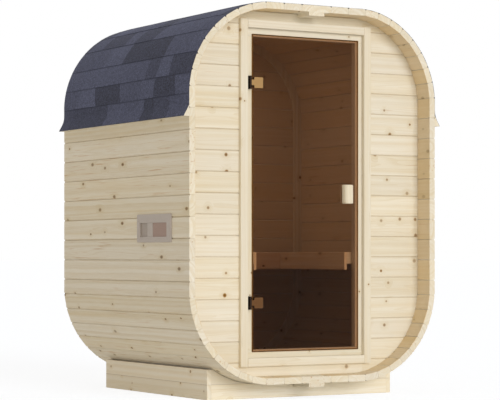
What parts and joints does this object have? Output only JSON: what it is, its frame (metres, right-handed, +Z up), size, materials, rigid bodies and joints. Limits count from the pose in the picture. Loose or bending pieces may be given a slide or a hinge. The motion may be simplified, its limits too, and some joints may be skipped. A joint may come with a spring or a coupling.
{
  "type": "barrel sauna",
  "caption": "Barrel sauna of rounded square section: wooden staves, board end walls, tinted glass door hinged on the left, shingled roof, benches inside and a plinth base.",
  "frame": {"origin": "on the ground under the middle of the barrel", "axes": "+Z up, front and door towards -Y, +X to the right seen from the front"},
  "size_m": [1.742, 1.6, 2.2476],
  "materials": {
    "spruce": "planed, untreated",
    "bench_wood": "planed, untreated",
    "handle_wood": "sanded",
    "bronze_glass": "clear tempered, bronze tint",
    "hinge_brass": "brushed",
    "dark_hinge_steel": "satin black",
    "vent_plastic": "matte",
    "bitumen_shingle": "mineral granules"
  },
  "bodies": {
    "cabin": {"base_front": "spruce", "base_back": "spruce", "base_left": "spruce", "base_right": "spruce", "base_bearers": "spruce", "floor_staves": "spruce", "floor_key_stave": "spruce", "roof_staves": "spruce", "roof_key_stave": "spruce", "left_wall_staves": "spruce", "right_wall_staves": "spruce", "lower_left_corner": "spruce", "lower_right_corner": "spruce", "upper_left_corner": "spruce", "upper_right_corner": "spruce", "front_wall_left": "spruce", "front_wall_right": "spruce", "front_wall_top": "spruce", "front_wall_bottom": "spruce", "back_wall": "spruce", "back_wall_battens": "spruce", "casing_left": "spruce", "casing_right": "spruce", "casing_head": "spruce", "casing_sill": "spruce", "frame_left_jamb": "spruce", "frame_right_jamb": "spruce", "frame_head": "spruce", "frame_sill": "spruce", "hinge_brackets": "dark_hinge_steel", "vent_plate": "vent_plastic", "vent_slide": "vent_plastic", "left_bench_seat": "bench_wood", "right_bench_seat": "bench_wood", "rear_bench_seat": "bench_wood", "bench_fascias": "bench_wood", "bench_end_rails": "bench_wood", "bench_bearers": "bench_wood", "eave_fillets": "spruce", "roof_cover": "bitumen_shingle"},
    "door": {"hinge_knuckles": "dark_hinge_steel", "hinge_plates": "hinge_brass", "door_glass": "bronze_glass", "outer_handle": "handle_wood", "inner_handle": "handle_wood"}
  },
  "joints": [
    {"name": "door_hinge", "type": "hinge", "parent": "cabin", "child": "door", "pos_m": [-0.373, -0.686, 1.17], "axis": [0, 0, -1], "range_deg": [0, 110]}
  ]
}
